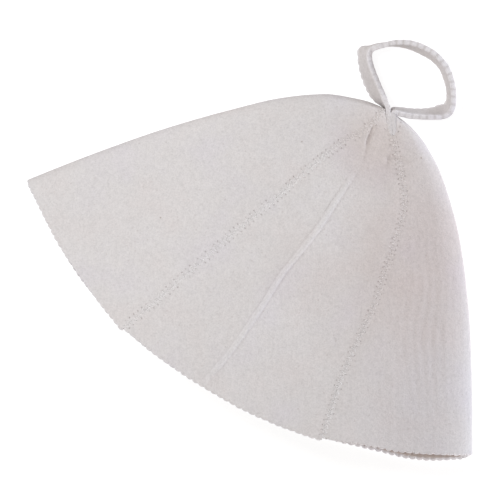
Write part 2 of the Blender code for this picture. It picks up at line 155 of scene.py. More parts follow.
# How far the under layer has slipped past the upper one, beside the right bend
BACK_SLIP = 5.8
BACK_SLIP_CENTRE = 0.88
BACK_SLIP_SPREAD = 0.18

# How far the upper layer's hem stands out from share 1, by its place across the hat
HEM_REACH = table(
    "across reach",
    (-1.0, 1.9), (-0.95, 0.7), (-0.88, 0.0), (-0.72, -0.8), (-0.60, -1.3), (-0.46, -0.5),
    (-0.38, 0.3), (-0.30, -0.5), (0.05, -0.9), (0.20, -0.5), (0.45, -0.2), (0.53, -0.7),
    (0.62, -1.7), (0.67, -1.4), (0.75, -0.3), (0.85, 0.0), (1.0, 0.5),
)

# The gores: the seed of their hem's noise, the spacing of their fine columns, and how far
# each end of their hem stands out
GORES = table(
    "name replaced first_seam last_seam seed spacing hem_start hem_end",
    ("felt_left_gore", "left_gore", "under_left", "left", 14, 1.5, 0.0, 1.6),
    ("felt_front_gore", "front_gore", "left", "right", 15, 1.4, 0.0, 1.4),
    ("felt_right_gore", "right_gore", "right", "under_right", 15, 1.5, -0.4, 0.0),
    ("felt_back_right_gore", "back_right_gore", "under_right", "under_middle", 20, 3.0, 0.0, 0.0),
    ("felt_back_left_gore", "back_left_gore", "under_middle", "under_left", 19, 3.0, 0.0, 0.0),
)
# Marks that the felt's material reads, and the places of the mesh's columns and rows. Besides the stitch
# and row marks, they say where shade and light are painted; the cut mark also gives the cut edges' paler
# tone.
MARKS = ("stitch", "row", "cut", "fold", "painted_light", "inside")
EDGE_COLUMNS = (0.0, 0.45, 0.95, 1.6, 2.4, 3.4)
CREASE_COLUMNS = (0.0, 0.8, 1.4, 1.8, 2.2, 2.7, 3.5)
ROW_SPACING = 1.5
TIP_ROWS = (0.0, 0.004, 0.01)
SLOT_ROWS = (0.044, 0.048, 0.052, 0.056, 0.06, 0.064, 0.067, 0.0695, 0.0705)
SHARP_ANGLE = math.radians(62)

# The pinked strip along the hem: heights of its rows, and how much each is thinned
HEM_STRIP_HEIGHT = 4.0
HEM_ROWS = (3.2, 2.2, 1.3, 0.6, 0.2, 0.0)
HEM_ROUNDING = (0.0, 0.0, 0.0, 0.06, 0.22, 0.6)
BACK_BEVEL = (0.0, 0.0, 0.2, 0.74, 0.98, 0.9)
HEM_POINTS_PER_TOOTH = 9
TOOTH_UNEVENNESS = 0.45
HEM_UNEVENNESS = 0.25
# How high the paler cut tint reaches on the upper and the under hem; on the under layer's rim it is painted
# light
FRONT_CUT_HEIGHT = 0.3
BACK_CUT_HEIGHT = 1.4

# Unevenness of the felt, with the part of each height that the under layer keeps
UNEVENNESS = table(
    "height scale seed under",
    (0.55, 46.0, 1, 0.0),
    (0.28, 19.0, 2, 0.0),
    (0.09, 7.0, 3, 0.3),
    (0.05, 3.0, 4, 1.0),
)
INNER_ALLOWANCE = 0.25
SEAM_NOTCH_DEPTH = 0.05
SEAM_NOTCH_WIDTH = 0.4
SEAM_OPENING = 0.02
SEAM_VALLEY_DEPTH = 0.32
SEAM_VALLEY_WIDTH = 2.6

# Ripples by their own directions, arcs round a centre, and a short fold with a pit at its end
RIPPLE_ACROSS = np.array((0.848, 0.530))
RIPPLE_ALONG = np.array((0.530, -0.848))
RIPPLE_HEIGHT = 0.11
RIPPLE_PITCH = 6.0
RIPPLE_MIDDLE = (27.0, 155.0)
RIPPLE_SPREAD = (20.0, 62.0)
ARC_CENTRE = (-60.0, -20.0)
ARC_HEIGHT = 0.14
ARC_PITCH = 8.5
ARC_MIDDLE = (22.0, -95.0)
ARC_SPREAD = (24.0, 26.0)
PRESSED_FOLD = ((15.0, -26.5), (31.0, -20.5))
PRESSED_PIT = ((15.5, -28.0), (16.5, -26.0))
PRESSED_DEPTH = 0.9

# The strap from tail to tail: its upper edge, the lean of its lower edge, and its thickness
STRAP_PATH = table(
    "upper_x upper_y lean_x lean_y lower_z thickness",
    (9.1, -12.6, 0.0, 0.0, 8.8, 1.3),
    (6.1, -9.5, 0.0, 0.0, 7.9, 2.5),
    (2.4, -5.3, 0.0, 0.0, 6.3, 3.2),
    (-0.8, -1.0, 0.0, 0.0, 4.8, 3.3),
    (-2.6, 1.9, -0.3, -0.2, 4.5, 3.4),
    (-5.2, 4.0, -1.5, -2.0, 4.2, 3.5),
    (-9.7, 7.8, -4.4, -5.3, 3.4, 3.7),
    (-15.4, 11.9, -5.1, -6.4, 2.7, 3.7),
    (-21.6, 16.3, -4.9, -6.5, 2.4, 3.7),
    (-27.5, 20.9, -4.7, -5.8, 2.0, 3.7),
    (-31.2, 25.0, -6.6, -2.8, 1.7, 3.7),
    (-32.3, 28.6, -6.9, -2.6, 1.7, 3.6),
    (-30.8, 32.0, -3.5, -2.0, 1.7, 3.5),
    (-27.3, 35.9, -2.3, -1.0, 1.7, 3.4),
    (-20.6, 42.6, -0.4, -1.6, 1.7, 3.4),
    (-11.2, 47.7, 0.2, -3.2, 1.7, 3.4),
    (0.0, 49.7, 0.0, -3.9, 1.7, 3.4),
    (8.2, 48.9, -0.8, -3.3, 1.7, 3.4),
    (15.8, 46.4, -1.8, -2.9, 1.7, 3.4),
    (22.1, 42.0, -2.6, -2.4, 1.7, 3.4),
    (27.8, 36.2, -3.2, -1.2, 1.8, 3.4),
    (32.4, 29.4, -3.8, -0.4, 2.0, 3.4),
    (34.8, 24.2, -5.6, 0.8, 2.1, 3.4),
    (34.8, 19.4, -7.0, 3.4, 2.2, 3.4),
    (31.7, 15.5, -5.8, 5.4, 2.4, 3.4),
    (26.6, 12.2, -3.8, 4.6, 2.6, 3.4),
    (20.0, 8.3, -2.4, 4.3, 3.0, 3.4),
    (12.7, 4.6, -1.8, 3.9, 3.6, 3.4),
    (6.5, 2.4, -2.2, 2.9, 4.2, 3.4),
    (3.4, 1.3, -2.8, 1.0, 4.5, 3.8),
    (2.5, 0.1, -0.6, 0.3, 4.8, 3.6),
    (5.0, -3.4, 0.0, 0.0, 6.3, 3.2),
    (8.2, -8.0, 0.0, 0.0, 7.9, 2.5),
    (10.2, -11.8, 0.0, 0.0, 8.8, 1.3),
)
STRAP_STEP = 0.45
TAIL_LENGTH = 12.0
TAIL_FADE = 6.0
STRAP_ROUGHNESS = 0.12
STRAP_FLOOR_GAP = 0.3
UPPER_TOOTH_HEIGHT = 0.2
# Painted shade in the notches of the strap's upper cut edge, weaker along the left leg, and painted light
# on the flank by the root, with its reach
STRAP_LEFT_LEG = (0.34, 0.42)
STRAP_NOTCH_SHADE = (0.25, 0.8)
PAINTED_LIGHT_FLANK = (14.0, 5.0)
PAINTED_LIGHT_REACH = 11.0

# Zigzag seams: how far apart the two rows of needle holes are, and a stitch's length
Seam = namedtuple("Seam", "rows_apart stitch")
SEAMS = {
    "left": Seam(5.6, 3.5),
    "right": Seam(5.0, 3.4),
    "under_left": Seam(5.0, 3.5),
    "under_middle": Seam(5.0, 3.5),
    "under_right": Seam(5.0, 3.5),
}
SEAM_START = 2.0
SEAM_END = 1.0
TAIL_HOLES_WIDER = 0.55
THREAD_RADIUS = 0.25
THREAD_LIFT = 0.05
THREAD_DIVE = 0.6
UNDER_THREAD_DEPTH = 0.7
STITCH_STEPS = 7
HALF_STITCH = 1.75
HALF_ROW = 2.6

# Lines and spots of painted shade in small folds of the upper layer
SHADED_FOLD_LINES = table(
    "start_x start_y end_x end_y half_width depth",
    (-4.2, -14.3, -3.4, -18.0, 0.9, 0.6),
    (-3.3, -18.0, -1.4, -26.0, 1.0, 1.0),
    (-1.2, -26.0, 2.3, -36.7, 1.0, 0.45),
    (14.6, -25.0, 17.6, -32.0, 1.4, 0.35),
    (19.0, -24.5, 23.0, -26.0, 1.0, 0.5),
    (23.0, -26.0, 29.0, -21.5, 1.2, 0.25),
    (26.0, -32.0, 33.0, -30.0, 4.5, 0.2),
)
# Painted shade in the grooves on the left and the right of the crease's ridge
CREASE_LINE_SHADE = (0.45, 0.8)
# Painted shade at the sharp left fold and on the slope down to the right bend, where the felt turns from
# the light
FOLD_SHADE = 0.7
BEND_SHADE = 0.25
BEND_ANGLE = 148.0
BEND_SPREAD = 17.0
# Faint streaks of painted shade beside the crease: how far to its right, and how dark
CREASE_SHADE_STREAKS = ((6.5, 0.2), (10.5, 0.15))

# Colours, and the tints that multiply them where the felt is marked. The strap's colour and most tints are
# painted shade and light; the cut tint is also the cut edges' paler tone.
FELT_COLOUR = (0.747, 0.721, 0.722)
# The strap's felt, painted darker than the hat's as shade on its steep faces
STRAP_SHADED_COLOUR = (0.64, 0.605, 0.60)
FELT_TINTS = {
    # Painted shade at the folds, along the crease and in small folds
    "fold": (0.80, 0.78, 0.777),
    # A painted highlight on the top of the crease's ridge
    "painted_light": (1.025, 1.03, 1.035),
    # Painted warm shade on the inner skin, which shows only in the shaded mouth
    "inside": (1.04, 0.97, 0.91),
    # Paler cut edges: partly their own tone, partly painted light, most on the under layer's rim in the
    # upper layer's shade
    "cut": (1.07, 1.085, 1.11),
}
# The strap's tints paint light: on the flank by the root, in the shade between the legs, and on the
# up-facing cut edges
STRAP_LIGHT_TINTS = {"painted_light": (1.10, 1.125, 1.16), "cut": (1.27, 1.30, 1.34)}
# Painted shade in the needle holes
NEEDLE_HOLE_SHADE = (0.85, 0.82, 0.81)
# Painted light along the middle of each seam
SEAM_PAINTED_LIGHT = (1.03, 1.035, 1.04)
DARK_HAIR = (0.33, 0.27, 0.22, 1.0)
PALE_DOT = (0.94, 0.925, 0.92)
THREAD_DARK = (0.76, 0.74, 0.735)
THREAD_PALE = (0.87, 0.855, 0.855)
CLOUD_SCALE = 32.0
MOTTLE_SCALE = 430.0
FIBRE_SCALE = 480.0
CARDING_SCALE = 620.0
GRAIN_SCALE = 1000.0
FIBRE_HEIGHT = 0.0003
PLY_HEIGHT = 0.0001

# Spots of painted shade, darker and browner, that even out the light on the hat; in metres in the part's
# frame
SHADE_SPOTS = table(
    "x y z squeeze reach tint",
    (0.081, 0.020, 0.03, 0.70, 0.085, (0.905, 0.852, 0.837)),
    (0.0115, 0.060, 0.02, 1.0, 0.043, (0.925, 0.875, 0.85)),
    (0.128, -0.070, 0.03, 0.70, 0.065, (0.945, 0.935, 0.945)),
    (0.016, -0.041, 0.045, 1.0, 0.035, (0.98, 0.965, 0.962)),
    (-0.143, -0.078, 0.015, 1.0, 0.09, (0.98, 0.98, 0.98)),
)

# The camera: straight above, turned so that the crown points to the upper right
CAMERA_TARGET = Vector((-0.0232, -0.042, 0.02))
CAMERA_HEIGHT = 5.0
VIEW_WIDTH = 0.3353
CAMERA_ROLL = math.radians(32.0)
SENSOR = 36.0
FLOOR_SIZE = 12.0
FLOOR_DROP = 0.0004
FLOOR_GLOW = 0.84
STUDIO_STRENGTH = 0.36

# Soft lights: the way to each in the picture's own axes, then metres, watts and a colour
LIGHTS = table(
    "name right up above distance size power colour",
    ("key", -0.33, 0.29, 0.79, 1.0, 0.36, 5.9, (0.98, 1.0, 1.0)),
    ("rim", 1.0, 0.17, 0.02, 1.3, 0.15, 14.0, (0.88, 0.95, 1.05)),
    ("fill", 0.15, -1.0, 0.40, 1.3, 0.4, 2.4, (1.0, 0.97, 0.95)),
    ("mouth", 0.14, -0.32, 0.024, 0.35, 0.05, 0.12, (1.0, 0.97, 0.94)),
)


def monotone(xs, ys, x):
    """Monotone cubic interpolation. ys holds one row of values for each x, or one row for all."""
    xs = np.asarray(xs, float)
    x = np.clip(np.asarray(x, float), xs[0], xs[-1])
    ys = np.broadcast_to(np.asarray(ys, float), x.shape + (len(xs),))
    steps = np.diff(xs)
    slopes = np.diff(ys, axis=-1) / steps
    before, after = slopes[..., :-1], slopes[..., 1:]
    product = before * after
    total = before + after
    inner = np.where(product > 0, 2 * product / np.where(product > 0, total, 1.0), 0.0)
    tangents = np.concatenate([slopes[..., :1], inner, slopes[..., -1:]], axis=-1)
    i = np.clip(np.searchsorted(xs, x, side="right") - 1, 0, len(xs) - 2)

    def pick(values, index):
        return np.take_along_axis(values, index[..., None], axis=-1)[..., 0]

    step = steps[i]
    t = (x - xs[i]) / step
    start, end = pick(ys, i), pick(ys, i + 1)
    rise = start * (2 * t**3 - 3 * t**2 + 1) + end * (3 * t**2 - 2 * t**3)
    turn = pick(tangents, i) * (t**3 - 2 * t**2 + t) + pick(tangents, i + 1) * (t**3 - t**2)
    return rise + step * turn


def column(rows, name, share):
    """A table's column at shares of the length."""
    return monotone([row.share for row in rows], [getattr(row, name) for row in rows], share)


def between(rows, place_at):
    """Straight lines between the rows of a table with two columns."""
    return np.interp(place_at, *np.array(rows).T)


def bell(away, width):
    """1 in the middle, fading to nothing at about twice the width."""
    return np.exp(-((away / width) ** 2))


def unit(vectors):
    return vectors / np.maximum(np.linalg.norm(vectors, axis=-1, keepdims=True), 1e-9)


def across_of(angle):
    """The place across the hat, from -1 at the left fold to 1 at the right bend."""
    return -np.cos(np.radians(angle))


def angle_across(across):
    """The angle of a place across the upper layer."""
    return np.degrees(np.arccos(-np.clip(across, -1.0, 1.0)))


def on_top(angle):
    return np.sin(np.radians(angle)) > 0


def half_width(share):
    return (column(SIDES, "right_x", share) - column(SIDES, "left_x", share)) / 2


def hat_points(share, angle):
    """Points of the smooth outer surface, in millimetres, for arrays of shares and angles."""
    share, angle = np.broadcast_arrays(np.asarray(share, float), np.asarray(angle, float))
    across = across_of(angle)
    left = across < 0
    side_x = np.where(left, column(SIDES, "left_x", share), column(SIDES, "right_x", share))
    side_y = np.where(left, column(SIDES, "left_y", share), column(SIDES, "right_y", share))
    centre_x = HEM_CENTRE_X * share
    centre_y = -CROWN_LENGTH * share
    x = centre_x + np.abs(across) * (side_x - centre_x)
    y = centre_y + np.abs(across) ** np.where(left, LEFT_BOW, RIGHT_BOW) * (side_y - centre_y)
    names = HEIGHTS[0]._fields[1:] + ("at_0",)
    heights = np.stack([column(HEIGHTS, name, share) for name in names], axis=-1)
    z = monotone(HEIGHT_ANGLES, heights, angle % 360.0)
    slip = BACK_SLIP * share**2 * bell(across - BACK_SLIP_CENTRE, BACK_SLIP_SPREAD)
    y = y - slip * np.clip(-np.sin(np.radians(angle)) * 5, 0, 1)
    return np.stack([x, y, z], axis=-1)


def around_hat(share, angle):
    """Vectors along the surface round the hat, over one degree."""
    return hat_points(share, angle + 0.5) - hat_points(share, angle - 0.5)


def exact_normals(share, angle):
    low = np.maximum(share - 0.002, 0.0)
    along = hat_points(low + 0.004, angle) - hat_points(low, angle)
    return unit(np.cross(along, around_hat(share, angle)))


def hat_normals(share, angle):
    """The felt's thickness direction, evened out round the tip as in the CAD part."""
    share, angle = np.broadcast_arrays(np.asarray(share, float), np.asarray(angle, float))
    normals = exact_normals(share, angle)
    near = share < TIP_SHARE
    if near.any():
        window = TIP_EVENING_ANGLE * (1.0 - share[near] / TIP_SHARE)
        turns = (-1.0, -0.6, -0.3, 0.0, 0.3, 0.6, 1.0)
        normals[near] = unit(sum(exact_normals(share[near], angle[near] + k * window) for k in turns))
    return normals


def slot_across(share, side):
    """Where the edge of the tails' slot lies across the hat, straight beside the tails."""
    trial = np.linspace(-0.98, 0.98, 393)
    from_middle = hat_points(share[:, None], angle_across(trial))[..., :2] - TAILS_MIDDLE
    off = from_middle[..., 0] * TAIL_DIRECTION[1] - from_middle[..., 1] * TAIL_DIRECTION[0]
    rooms = between(SLOT_WIDTHS, share)
    return np.array([np.interp(side * room, row, trial) for room, row in zip(rooms, off)])


def seam_angle(name, share, side=0):
    """The angle of a seam at shares of the length. side moves the right seam off the tails."""
    share = np.asarray(share, float)
    turn = UNDER_SEAM_TURN * np.maximum(0.0, 1.0 - share / TIP_SHARE)
    if name == "under_left":
        return UNDER_LEFT_SEAM - turn
    if name == "under_middle":
        return np.full(share.shape, UNDER_MIDDLE_SEAM)
    if name == "under_right":
        return UNDER_RIGHT_SEAM + turn
    across = column(SEAM_LINES, name + "_seam", share)
    if name == "right" and side:
        across = np.where(share <= TAIL_SLOT_END, slot_across(share, side), across)
    return angle_across(across)


def value_noise(points, scale, seed):
    """Smooth noise from -1 to 1 at points, from hashed lattice values."""
    p = np.asarray(points, float) / scale + 57.31 * seed + 1000.0
    cell = np.floor(p).astype(np.int64)
    f = p - cell
    f = f * f * (3 - 2 * f)
    total = 0.0
    for corner in range(8):
        offset = np.array([(corner >> k) & 1 for k in range(3)])
        c = cell + offset
        h = (c[..., 0] * 73856093) ^ (c[..., 1] * 19349663) ^ (c[..., 2] * 83492791) ^ (seed * 2654435761)
        h = ((h ^ (h >> 13)) * 1274126177) & 0x7FFFFFFF
        weight = np.prod(np.where(offset == 1, f, 1 - f), axis=-1)
        total = total + (h / 0x3FFFFFFF - 1.0) * weight
    return total


def place(points):
    """From millimetres around the crown's tip to metres in the part's frame."""
    return (np.asarray(points, float) + (CROWN_TIP_X, CROWN_TIP_Y, 0.0)) * MM


def segment_distance(points, start, end):
    """Distance in plan from points to a straight segment, and the share along it."""
    start, end = np.asarray(start, float), np.asarray(end, float)
    run = end - start
    t = np.clip(((points[..., :2] - start) @ run) / (run @ run), 0.0, 1.0)
    return np.linalg.norm(points[..., :2] - (start + t[..., None] * run), axis=-1), t


def crease_offset(share, across):
    """How far a point lies from the crease, in millimetres, to the right of it."""
    return (across - column(SEAM_LINES, "crease", share)) * half_width(share)


def groove_offset(offset):
    """How far a point lies from the groove on its side of the crease's ridge."""
    return np.abs(offset) - CREASE_HALF_WIDTH - GROOVE_MARGIN


def ridge_part(share):
    """0 along the dimple by the crown, 1 where the crease is a ridge, and fading at the hem."""
    return np.clip((share - RIDGE_START) * 8, 0, 1) * np.clip((RIDGE_END - share) * 12, 0, 1)


def ridge_top(offset, softness):
    """1 on the top of the crease's ridge, and 0 beside it."""
    past = (np.abs(offset) - CREASE_HALF_WIDTH) / softness
    return 1 / (1 + np.exp(np.minimum(past, 60.0)))


def crease_relief(share, across):
    """The long crease: a pinched dimple by the crown that turns into a ridge between two grooves."""
    offset = crease_offset(share, across)
    height = column(CREASE_HEIGHTS, "height", share) * (share > CREASE_HEIGHTS[0].share)
    dimple = np.minimum(height, 0.0) * bell(offset, DIMPLE_HALF_WIDTH)
    ridge = np.maximum(height, 0.0) * ridge_top(offset, RIDGE_SOFTNESS)
    grooves = GROOVE_DEPTH * bell(groove_offset(offset), GROOVE_HALF_WIDTH) * ridge_part(share)
    tent = CREASE_TENT_HEIGHT * np.exp(-np.abs(offset) / CREASE_TENT_WIDTH)
    tent = tent * np.clip((share - TENT_START) * 4, 0, 1) * np.clip((TENT_END - share) * 5, 0, 1)
    return dimple + ridge - grooves + tent


def ripple_relief(points):
    """Fine upright ripples towards the right bend, and arcs in the middle of the hat."""
    aside, down = points[..., :2] @ RIPPLE_ACROSS, points[..., :2] @ RIPPLE_ALONG
    wave = np.sin(2 * math.pi * (aside / RIPPLE_PITCH + 0.5 * value_noise(points, 34.0, 5)))
    wave = wave * bell(aside - RIPPLE_MIDDLE[0], RIPPLE_SPREAD[0])
    wave = wave * bell(down - RIPPLE_MIDDLE[1], RIPPLE_SPREAD[1])
    x, y = points[..., 0], points[..., 1]
    arcs = np.sin(2 * math.pi * np.hypot(x - ARC_CENTRE[0], y - ARC_CENTRE[1]) / ARC_PITCH)
    arcs = arcs * bell(x - ARC_MIDDLE[0], ARC_SPREAD[0]) * bell(y - ARC_MIDDLE[1], ARC_SPREAD[1])
    return RIPPLE_HEIGHT * wave + ARC_HEIGHT * arcs


def pressed_folds(points):
    """How deep the short fold by the crown and the pit at its end are pressed in."""
    fold, along = segment_distance(points, *PRESSED_FOLD)
    pit, _ = segment_distance(points, *PRESSED_PIT)
    return PRESSED_DEPTH * (bell(fold, 1.3) * np.sin(math.pi * np.clip(along, 0.03, 0.97)) + bell(pit, 1.2))


def felt_relief(points, share, angle, to_seam):
    """How far the outer felt surface stands off the smooth shape, in millimetres."""
    over = np.clip(np.sin(np.radians(angle)) * 4, 0, 1)
    relief = over * (crease_relief(share, across_of(angle)) - pressed_folds(points) + ripple_relief(points))
    for row in UNEVENNESS:
        height = row.height * (row.under + (1 - row.under) * over)
        relief = relief + height * value_noise(points, row.scale, row.seed)
    notch = SEAM_NOTCH_DEPTH * bell(to_seam, SEAM_NOTCH_WIDTH)
    valley = SEAM_VALLEY_DEPTH * np.exp(-to_seam / SEAM_VALLEY_WIDTH) * (0.4 + 0.6 * over)
    return relief - (notch + valley) * np.clip((share - 0.02) / 0.08, 0.15, 1)


def lengths_along(share, angle):
    """Distances from the first point of a line on the surface."""
    steps = np.diff(hat_points(share, angle), axis=0)
    return np.concatenate([[0], np.cumsum(np.linalg.norm(steps, axis=1))])


def row_widths(share, start, end):
    return np.array([lengths_along(s, np.linspace(a, b, 49))[-1] for s, a, b in zip(share, start, end)])


def arc_positions(share, start, end, wanted):
    """Angles at wanted shares of the way along each row."""
    angles = np.empty_like(wanted)
    for r, (s, a, b) in enumerate(zip(share, start, end)):
        samples = np.linspace(a, b, 65)
        length = lengths_along(s, samples)
        angles[r] = np.interp(wanted[r] * length[-1], length, samples)
    return angles


def column_shares(widths, spacing, first=EDGE_COLUMNS, last=EDGE_COLUMNS):
    """Shares across each row, with close columns near both ends."""
    middle = int(widths[-1] / spacing)
    shares = np.empty((len(widths), len(first) + len(last) + middle))
    for r, width in enumerate(widths):
        scale = min(1.0, width / (3 * (first[-1] + last[-1]))) / width
        start, end = np.array(first) * scale, 1 - np.array(last[::-1]) * scale
        inner = np.linspace(start[-1], end[0], middle + 2)[1:-1]
        shares[r] = np.concatenate([start, inner, end])
    return shares


def fine_rows():
    """Shares of the rows from the tip to the top of the hem strip."""
    last = 1.0 - HEM_STRIP_HEIGHT / CROWN_LENGTH
    rows = np.linspace(TIP_ROWS[-1], last, int(CROWN_LENGTH * last / ROW_SPACING))
    slot_rows = SLOT_ROWS + (TAIL_SLOT_END + 0.0035,)
    rows = rows[(rows < slot_rows[0] - 0.002) | (rows > slot_rows[-1] + 0.002)]
    return np.unique(np.concatenate([TIP_ROWS, rows, slot_rows]))


def gore_columns(gore, share):
    """Angles of the gore's fine columns on each row, their shares of the row, and its width."""
    start, end = seam_angle(gore.first_seam, share, 1), seam_angle(gore.last_seam, share, -1)
    start = np.where(start > end, start - 360.0, start)
    if gore.replaced != "front_gore":
        widths = row_widths(share, start, end)
        shares = column_shares(widths, gore.spacing)
        return arc_positions(share, start, end, shares), shares, widths
    crease = angle_across(column(SEAM_LINES, "crease", share))
    crease = np.clip(crease, start + 0.3 * (end - start), start + 0.7 * (end - start))
    left_widths = row_widths(share, start, crease)
    right_widths = row_widths(share, crease, end)
    left = column_shares(left_widths, gore.spacing, last=CREASE_COLUMNS)
    right = column_shares(right_widths, gore.spacing, first=CREASE_COLUMNS)
    right_angles = arc_positions(share, crease, end, right)[:, 1:]
    right_lengths = left_widths[:, None] + right[:, 1:] * right_widths[:, None]
    angles = np.hstack([arc_positions(share, start, crease, left), right_angles])
    lengths = np.hstack([left * left_widths[:, None], right_lengths])
    widths = left_widths + right_widths
    return angles, lengths / widths[:, None], widths


def beside_tails(gore, share, shape):
    """Where the gore's wall stands straight beside the strap's tails: its tip and one seam."""
    beside = np.zeros(shape, bool)
    beside[0] = True
    beside[share <= TAIL_SLOT_END, -1] |= gore.last_seam == "right"
    beside[share <= TAIL_SLOT_END, 0] |= gore.first_seam == "right"
    return beside


def along_tails(normals):
    """Wall directions beside the strap's tails, without their part across the tails."""
    across = np.array((TAIL_DIRECTION[1], -TAIL_DIRECTION[0], 0.0))
    flat = unit(normals - across * (normals @ across)[..., None])
    return flat / np.maximum((flat * normals).sum(-1), 0.5)[..., None]


def felt_skins(share, angles, to_seam, beside=False, run_on=0.0, rounding=0.0, bevel=0.0):
    """Outer and inner points of the felt at a grid of shares and angles, with its relief."""
    smooth = hat_points(share, angles)
    normals = hat_normals(share, angles)
    inward = np.where(np.asarray(beside)[..., None], along_tails(normals), normals)
    over = on_top(angles)
    relief = felt_relief(smooth, share, angles, to_seam)
    floor_room = np.clip(smooth[..., 2] / 1.5, 0.0, 1.0)
    relief = np.where(over, relief, np.minimum(relief, 0.6 * floor_room))
    crease = np.where(over, crease_relief(share, across_of(angles)), 0.0)
    inner_relief = 0.03 * value_noise(smooth, 5.0, 8) + 0.075 * value_noise(smooth, 30.0, 9)
    thickness = FELT_THICKNESS - INNER_ALLOWANCE + inner_relief - rounding - bevel
    shift = np.zeros(angles.shape)
    shift[:, 0], shift[:, -1] = SEAM_OPENING / 2, -SEAM_OPENING / 2
    smooth = smooth + run_on + unit(around_hat(share, angles)) * shift[..., None]
    outer = smooth + normals * (relief - rounding)[..., None]
    inner = smooth - inward * thickness[..., None] + normals * crease[..., None]
    return outer, inner


def hem_grid(gore, angles, shares, length):
    """Rows of the pinked hem strip, with close columns for round teeth."""
    teeth = round(length / TOOTH_PITCH)
    fine_share = np.linspace(0, 1, teeth * HEM_POINTS_PER_TOOTH + 1)
    fine_angles = np.interp(fine_share, shares[-1], angles[-1])
    wave = 2 * np.abs(np.sin(math.pi * fine_share * teeth)) ** 0.7 - 1
    line = np.stack([fine_share * length, fine_share * 0, fine_share * 0], -1)
    depth = 1.0 + TOOTH_UNEVENNESS * value_noise(line, 14.0, gore.seed)
    reach = TOOTH_HEIGHT / 2 * wave * depth + HEM_UNEVENNESS * value_noise(line, 5.0, gore.seed + 3)
    reach = reach + gore.hem_start + (gore.hem_end - gore.hem_start) * fine_share**4
    over = np.clip(0.3 + 3 * np.sin(np.radians(fine_angles)), 0, 1)
    reach = reach + over * between(HEM_REACH, across_of(fine_angles))
    above = np.array(HEM_ROWS)[:, None]
    row_share = 1.0 + (reach * (1 - above / HEM_ROWS[0]) - above) / CROWN_LENGTH
    return fine_share, fine_angles, row_share


def hem_skins(angles, row_share, to_seam):
    """Outer and inner points of the hem strip. Past the last row the felt runs straight on."""
    within = np.minimum(row_share, 1.0)
    step = hat_points(1.0, angles) - hat_points(0.98, angles)
    run_on = step * ((row_share - within) / 0.02)[..., None]
    rounding = np.array(HEM_ROUNDING)[:, None]
    bevel = np.array(BACK_BEVEL)[:, None] * np.clip(-5 * np.sin(np.radians(angles)), 0, 1)
    return felt_skins(within, angles, to_seam, run_on=run_on, rounding=rounding, bevel=bevel)


def stitch_ends(name):
    """Shares of a seam's needle holes, which fall on its two sides by turns."""
    share = np.linspace(0.0, 1.0, 700)
    length = lengths_along(share, seam_angle(name, share))
    count = int((length[-1] - SEAM_START - SEAM_END) / (SEAMS[name].stitch / 2))
    return np.interp(np.linspace(SEAM_START, length[-1] - SEAM_END, count), length, share)


def hole_rows(name, share):
    """How far the needle holes lie from the seam, wider where it holds the strap's tails."""
    widen = TAIL_HOLES_WIDER * np.clip(1.3 - share / 0.05, 0, 1) if name == "right" else 0.0
    return SEAMS[name].rows_apart / 2 * (1.0 + widen)


def stitch_marks(gore, share, lengths, widths):
    """For each point: its count of stitches along the nearer seam, and its distance in rows."""
    counts, rows = [], []
    for name, distance, turn in ((gore.first_seam, lengths, 1.0), (gore.last_seam, widths - lengths, 0.0)):
        ends = stitch_ends(name)
        counts.append(np.interp(share, ends, np.arange(len(ends))) + turn)
        rows.append(distance / hole_rows(name, share))
    nearer = lengths < widths - lengths
    return {"stitch": np.where(nearer, *counts), "row": np.where(nearer, *rows)}


def small_fold_shade(points):
    """How dark painted shade makes the felt along its small folds, from 0 to 1."""
    marks = 0.0
    for row in SHADED_FOLD_LINES:
        away, _ = segment_distance(points, (row.start_x, row.start_y), (row.end_x, row.end_y))
        marks = np.maximum(marks, row.depth * bell(away, row.half_width))
    return marks


def painted_fold_shade(angles, share, offset):
    """How dark painted shade makes the felt: at the sharp left fold, on the slope down to the right bend,
    along the crease and in small folds.
    """
    from_fold = np.minimum(np.abs(angles), np.abs(360.0 - angles))
    fold = FOLD_SHADE * bell(from_fold, 9.0 + 10.0 * np.clip(1 - share / 0.4, 0, 1))
    bend = BEND_SHADE * bell(angles - BEND_ANGLE, BEND_SPREAD) * np.clip(share * 4, 0, 1)
    points = hat_points(share, angles)
    # Painted shade in the grooves beside the crease's ridge, and faint streaks of it to the crease's right
    line = np.where(offset < 0, *CREASE_LINE_SHADE) * bell(groove_offset(offset), 0.55) * ridge_part(share)
    for right_of, depth in CREASE_SHADE_STREAKS:
        line = line + depth * bell(offset - right_of, 0.9) * bell(share - 0.6, 0.13)
    line = line * (0.75 + 0.5 * value_noise(points, 16.0, 31))
    crease = np.maximum(line, small_fold_shade(points))
    return np.maximum(np.maximum(fold, bend), on_top(angles) * crease)


def gore_marks(gore, share, angles, lengths, widths):
    """The marks of a grid of points on a gore, which its material reads."""
    marks = stitch_marks(gore, share, lengths, widths)
    offset = crease_offset(share, across_of(angles))
    # Painted shade at the folds and along the crease
    marks["fold"] = painted_fold_shade(angles, share, offset)
    # A painted highlight on the top of the crease's ridge
    marks["painted_light"] = ridge_part(share) * ridge_top(offset, 0.2) * on_top(angles)
    return marks


def marked_mesh(names):
    """An empty mesh whose vertices can carry marks."""
    bm = bmesh.new()
    for name in names:
        bm.verts.layers.float.new(name)
    return bm


def add_vertices(bm, points, marks):
    """Rows of vertices at a grid of points in millimetres, with their marks."""
    grid = [[bm.verts.new(p) for p in row] for row in place(points)]
    for name, values in marks.items():
        layer = bm.verts.layers.float[name]
        for row, row_values in zip(grid, values):
            for vertex, value in zip(row, row_values):
                vertex[layer] = value
    return grid


def add_grid(bm, points, marks):
    """Vertices and faces of a grid of points, as rows of vertices."""
    grid = add_vertices(bm, points, marks)
    for upper, lower in zip(grid, grid[1:]):
        for k in range(len(upper) - 1):
            bm.faces.new((upper[k], upper[k + 1], lower[k + 1], lower[k]))
    return grid


